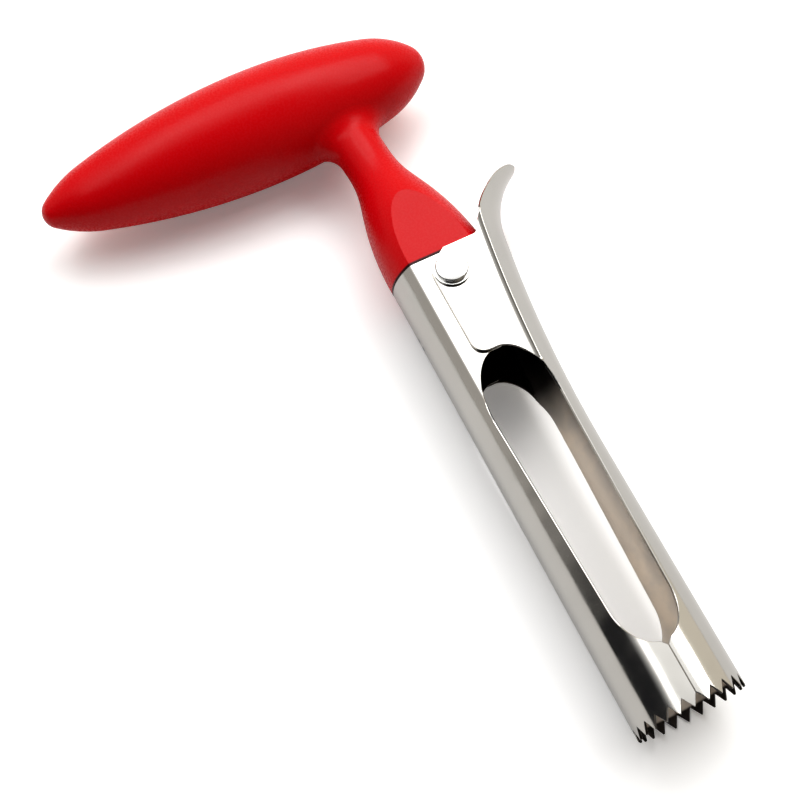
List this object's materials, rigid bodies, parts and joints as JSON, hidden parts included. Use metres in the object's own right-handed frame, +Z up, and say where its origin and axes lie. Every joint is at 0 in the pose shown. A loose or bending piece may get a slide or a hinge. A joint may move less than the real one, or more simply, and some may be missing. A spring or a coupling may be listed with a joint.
{
  "type": "apple corer",
  "caption": "Twist apple corer with a red T handle, a toothed steel tube and a hinged half with a thumb lever.",
  "frame": {"origin": "bottom centre of the bounding box of the lying tool", "axes": "+X along the tube towards the teeth, +Y towards the thumb lever, +Z up through the front window"},
  "size_m": [0.179, 0.1038, 0.0276],
  "materials": {
    "red_plastic": "moulded, satin gloss",
    "stainless": "polished sheet"
  },
  "bodies": {
    "frame": {"handle": "red_plastic", "fixed_shell": "stainless", "rivet": "stainless", "washer_front": "stainless", "washer_back": "stainless"},
    "hinged_half": {"moving_shell": "stainless"}
  },
  "joints": [
    {"name": "half_hinge", "type": "hinge", "parent": "frame", "child": "hinged_half", "pos_m": [-0.01591, 0.02432, 0.01315], "axis": [0.0109, 0, 0.9999], "range_deg": [0, 10]}
  ]
}
